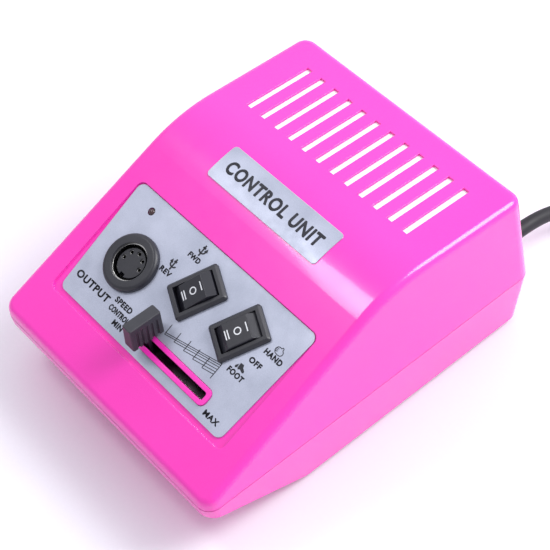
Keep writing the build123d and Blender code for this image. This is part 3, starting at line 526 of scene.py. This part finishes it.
def softened_edge():
    """Normal that rounds sharp edges over a radius, and a rubbed tint where it turns, broken up by noise."""
    group, source, sink = effect(
        "softened_edge",
        [("Place", "Vector", None), ("Radius", "Float", 0.0003), ("Colour", "Color", WHITE),
         ("Rubbed tint", "Color", WHITE), ("Rubbing", "Float", 0.3)],
        [("Colour", "Color"), ("Normal", "Vector")],
    )
    bevel = add(group, "ShaderNodeBevel", {"Radius": source["Radius"]}, samples=BEVEL_SAMPLES).outputs[0]
    plain = add(group, "ShaderNodeNewGeometry").outputs["Normal"]
    dot = add(group, "ShaderNodeVectorMath", {0: bevel, 1: plain}, operation="DOT_PRODUCT").outputs["Value"]
    turned = ranged(group, dot, 1.0, FULL_WEAR)
    broken = combined(group, "MULTIPLY", turned, noise(group, source["Place"], WEAR_SCALE, 3.0))
    amount = combined(group, "MULTIPLY", broken, source["Rubbing"], use_clamp=True)
    group.links.new(colour_mix(group, amount, source["Colour"], source["Rubbed tint"]), sink["Colour"])
    group.links.new(bevel, sink["Normal"])
    return group


TINTS = {
    "clouds": tint_effect("cloudy_tint", cloudy_mask),
    "stripes": tint_effect("striped_tint", striped_mask),
    "fibres": tint_effect("fibre_tint", fibre_mask),
}
SKIN = moulded_skin()
EDGE = softened_edge()


def finish(name, tint, deep, pattern="clouds", clouds=40.0, speckle=2500.0, grain=3000.0, waves=120.0,
           wave_share=0.3, shiny=0.3, dull=0.4, relief=0.02, edge=0.3, rubbed=None, rubbing=0.4, **shader):
    """Material from the shared effects: tint, rubbed edges, skin. Relief and edge are in millimetres."""
    material = bpy.data.materials.new(name)
    material.use_nodes = True
    tree = material.node_tree
    tree.nodes.clear()
    place = add(tree, "ShaderNodeTexCoord").outputs["Object"]
    colour = add(tree, "ShaderNodeGroup", {
        "Place": place, "Clouds": clouds, "Speckle": speckle, "Tint": (*tint, 1.0), "Deep tint": (*deep, 1.0),
    }, node_tree=TINTS[pattern])
    soft = add(tree, "ShaderNodeGroup", {
        "Place": place, "Radius": edge * MM, "Colour": colour.outputs["Colour"],
        "Rubbed tint": (*(rubbed or tint), 1.0), "Rubbing": rubbing,
    }, node_tree=EDGE)
    skin = add(tree, "ShaderNodeGroup", {
        "Place": place, "Grain": grain, "Waves": waves, "Shiny": shiny, "Dull": dull, "Wave share": wave_share,
    }, node_tree=SKIN)
    bump = add(tree, "ShaderNodeBump", {
        "Strength": 1.0, "Distance": relief * MM, "Height": skin.outputs["Height"],
        "Normal": soft.outputs["Normal"],
    })
    values = {key.replace("_", " "): value for key, value in shader.items()}
    values.update({
        "Base Color": soft.outputs["Colour"], "Roughness": skin.outputs["Roughness"], "Normal": bump.outputs[0],
    })
    principled = add(tree, "ShaderNodeBsdfPrincipled", values)
    output = add(tree, "ShaderNodeOutputMaterial")
    tree.links.new(principled.outputs[0], output.inputs[0])
    return material


# ---------------------------------------------------------------- finishes
FINISHES = {
    "pink_gloss": dict(
        tint=(0.93, 0.036, 0.485), deep=(0.90, 0.030, 0.455), clouds=25.0, grain=1400.0, waves=160.0,
        wave_share=0.7, shiny=0.22, dull=0.27, relief=0.006, edge=0.5, rubbed=(1.0, 0.16, 0.70), rubbing=0.5,
        Coat_Weight=0.5, Coat_Roughness=0.08,
    ),
    "silver_plate": dict(
        tint=(0.50, 0.525, 0.64), deep=(0.36, 0.385, 0.48), clouds=60.0, speckle=5200.0, grain=5200.0,
        waves=300.0, wave_share=0.1, shiny=0.36, dull=0.44, relief=0.012, edge=0.12, rubbed=(0.95, 0.95, 1.0),
        rubbing=1.0, Metallic=0.45,
    ),
    "filter_fibre": dict(
        tint=(0.98, 0.98, 0.98), deep=(0.84, 0.84, 0.86), pattern="fibres", clouds=900.0, speckle=2300.0,
        grain=2500.0, shiny=0.85, dull=0.95, relief=0.15, edge=0.1,
    ),
    "black_plastic": dict(
        tint=(0.017, 0.017, 0.025), deep=(0.012, 0.012, 0.019), clouds=200.0, speckle=4000.0, grain=5200.0,
        wave_share=0.15, shiny=0.34, dull=0.42, relief=0.02, edge=0.25, rubbed=(0.12, 0.12, 0.15),
        rubbing=0.9,
        Specular_IOR_Level=0.6,
    ),
    "black_rubber": dict(
        tint=(0.010, 0.009, 0.013), deep=(0.007, 0.006, 0.010), clouds=150.0, speckle=3000.0, grain=3800.0,
        shiny=0.45, dull=0.58, relief=0.02, edge=0.3, rubbed=(0.08, 0.08, 0.09),
    ),
    "grey_plastic": dict(
        tint=(0.034, 0.034, 0.042), deep=(0.025, 0.025, 0.033), clouds=220.0, speckle=4200.0, grain=4200.0,
        wave_share=0.1, shiny=0.42, dull=0.52, relief=0.035, edge=0.22, rubbed=(0.20, 0.20, 0.23),
        rubbing=0.8,
    ),
    "steel": dict(
        tint=(0.62, 0.62, 0.64), deep=(0.48, 0.48, 0.50), clouds=200.0, shiny=0.22, dull=0.36, relief=0.006,
        edge=0.15, rubbed=(0.85, 0.85, 0.88), Metallic=1.0,
    ),
    "brass": dict(
        tint=(0.80, 0.58, 0.25), deep=(0.62, 0.42, 0.17), clouds=250.0, shiny=0.22, dull=0.38, relief=0.006,
        edge=0.12, rubbed=(0.95, 0.78, 0.42), Metallic=1.0,
    ),
    "nickel": dict(
        tint=(0.66, 0.65, 0.63), deep=(0.52, 0.51, 0.50), clouds=180.0, shiny=0.16, dull=0.30, relief=0.004,
        edge=0.15, rubbed=(0.92, 0.92, 0.92), Metallic=1.0,
    ),
    "lamination": dict(
        tint=(0.34, 0.34, 0.37), deep=(0.13, 0.13, 0.15), pattern="stripes", clouds=420.0, shiny=0.35,
        dull=0.55, relief=0.05, edge=0.2, rubbed=(0.55, 0.55, 0.58), Metallic=0.8,
    ),
    "winding_tape": dict(
        tint=(0.86, 0.63, 0.12), deep=(0.62, 0.42, 0.06), pattern="stripes", clouds=90.0, shiny=0.28,
        dull=0.42, relief=0.06, edge=0.3, rubbed=(0.95, 0.80, 0.35),
    ),
    "board_green": dict(
        tint=(0.030, 0.19, 0.075), deep=(0.018, 0.12, 0.045), clouds=300.0, speckle=1800.0, shiny=0.25,
        dull=0.38, relief=0.02, edge=0.15, rubbed=(0.45, 0.48, 0.30), rubbing=1.0,
    ),
    "can_sleeve": dict(
        tint=(0.020, 0.055, 0.20), deep=(0.014, 0.035, 0.13), clouds=150.0, shiny=0.22, dull=0.32,
        relief=0.01,
        edge=0.4, rubbed=(0.40, 0.42, 0.48), rubbing=0.7,
    ),
    "aluminium": dict(
        tint=(0.70, 0.70, 0.72), deep=(0.56, 0.56, 0.58), pattern="stripes", clouds=900.0, shiny=0.28,
        dull=0.42, relief=0.01, edge=0.15, rubbed=(0.92, 0.92, 0.94), Metallic=1.0,
    ),
    "red_lens": dict(
        tint=(0.055, 0.018, 0.022), deep=(0.030, 0.010, 0.012), clouds=400.0, shiny=0.08, dull=0.14,
        relief=0.002, edge=0.1, rubbed=(0.2, 0.06, 0.07), Coat_Weight=0.6, Coat_Roughness=0.05,
    ),
    "clear_glass": dict(
        tint=(0.90, 0.94, 0.93), deep=(0.84, 0.90, 0.88), clouds=200.0, shiny=0.04, dull=0.08, relief=0.001,
        edge=0.1, Transmission_Weight=0.7,
    ),
    "phenolic": dict(
        tint=(0.24, 0.12, 0.05), deep=(0.16, 0.075, 0.030), clouds=500.0, speckle=1200.0, shiny=0.40,
        dull=0.55, relief=0.02, edge=0.15, rubbed=(0.35, 0.20, 0.10),
    ),
}
INK_LOOK = dict(clouds=900.0, speckle=6000.0, grain=5200.0, relief=0.01, edge=0.02)
BLACK_INK = dict(tint=(0.010, 0.010, 0.018), deep=(0.018, 0.018, 0.028), shiny=0.5, dull=0.62, **INK_LOOK)
WHITE_INK = dict(tint=(0.82, 0.83, 0.86), deep=(0.70, 0.71, 0.75), shiny=0.45, dull=0.55, **INK_LOOK)
DESK_LOOK = dict(tint=(0.84, 0.84, 0.885), deep=(0.825, 0.825, 0.87), clouds=3.0, speckle=600.0,
                 shiny=0.6, dull=0.7, relief=0.01, edge=0.1)


def paint(piece, material):
    """Gives a piece one material in place of what it came with."""
    piece.data.materials.clear()
    piece.data.materials.append(material)


def paint_cad_nodes():
    """Gives every CAD node the finish of its slot in the record, and returns the finishes by slot."""
    made = {slot: finish(slot, **look) for slot, look in FINISHES.items()}
    for part in frame["record"]["subparts"]:
        paint(frame["nodes"][part["node"]], made[part["material_slot"]])
    return made


# ---------------------------------------------------------------- desk and light
DESK_HALF = 3000.0
SURROUND_TINT = (0.93, 0.94, 1.0, 1.0)
SURROUND_FRONT = 0.66
SURROUND_BACK = 1.15
SURROUND_BLEND = 0.45           # how far from the middle, to the front and the back, the change reaches
LIGHTS = [
    # name, place and target in metres, size, power
    ("rear_softbox", (0.5, 0.7, 0.9), (0.0, 0.0, 0.04), 0.6, 11.5),
    ("left_strip", (-0.42, -0.24, 0.95), (0.0, 0.0, 0.05), 0.22, 1.6),
]


def make_desk():
    """Wide pale desk, one flat surface under the feet."""
    mesh = bpy.data.meshes.new("desk")
    corners = np.array([(-1, -1, 0), (1, -1, 0), (1, 1, 0), (-1, 1, 0)]) * DESK_HALF * MM
    mesh.from_pydata(corners.tolist(), [], [(0, 1, 2, 3)])
    desk = bpy.data.objects.new("desk", mesh)
    bpy.context.scene.collection.objects.link(desk)
    paint(desk, finish("desk_white", **DESK_LOOK))


def area_light(name, place, target, size, power):
    """Square soft white light at a place, turned to its target."""
    data = bpy.data.lights.new(name, "AREA")
    data.size = size
    data.energy = power
    lamp = bpy.data.objects.new(name, data)
    lamp.location = place
    lamp.rotation_euler = (Vector(target) - Vector(place)).to_track_quat("-Z", "Y").to_euler()
    bpy.context.scene.collection.objects.link(lamp)


def make_light():
    """Pale surround, brighter behind than in front, with a soft light behind and a weak one at the left."""
    world = bpy.data.worlds.new("studio")
    world.use_nodes = True
    tree = world.node_tree
    around = add(tree, "ShaderNodeTexCoord").outputs["Generated"]
    depth = add(tree, "ShaderNodeSeparateXYZ", {0: around}).outputs["Y"]
    strength = ranged(tree, depth, -SURROUND_BLEND, SURROUND_BLEND, SURROUND_FRONT, SURROUND_BACK,
                      interpolation_type="SMOOTHSTEP")
    background = tree.nodes["Background"]
    background.inputs["Color"].default_value = SURROUND_TINT
    tree.links.new(strength, background.inputs["Strength"])
    bpy.context.scene.world = world
    for row in LIGHTS:
        area_light(*row)


# ---------------------------------------------------------------- everything together
make_camera()
cord = make_cord()
finishes = paint_cad_nodes()
paint(cord, finishes["black_rubber"])
black_ink = finish("black_ink", **BLACK_INK)
white_ink = finish("white_ink", **WHITE_INK)
paint(make_panel_print(), black_ink)
paint(make_badge_print(), black_ink)
paint(make_rocker_marks("direction_marks", "direction_rocker", DIRECTION_AT, DIRECTION_REST), white_ink)
paint(make_rocker_marks("mode_marks", "mode_rocker", MODE_AT, 0.0), white_ink)
make_desk()
make_light()
bpy.context.scene.view_settings.view_transform = "Standard"

bpy.context.view_layer.update()
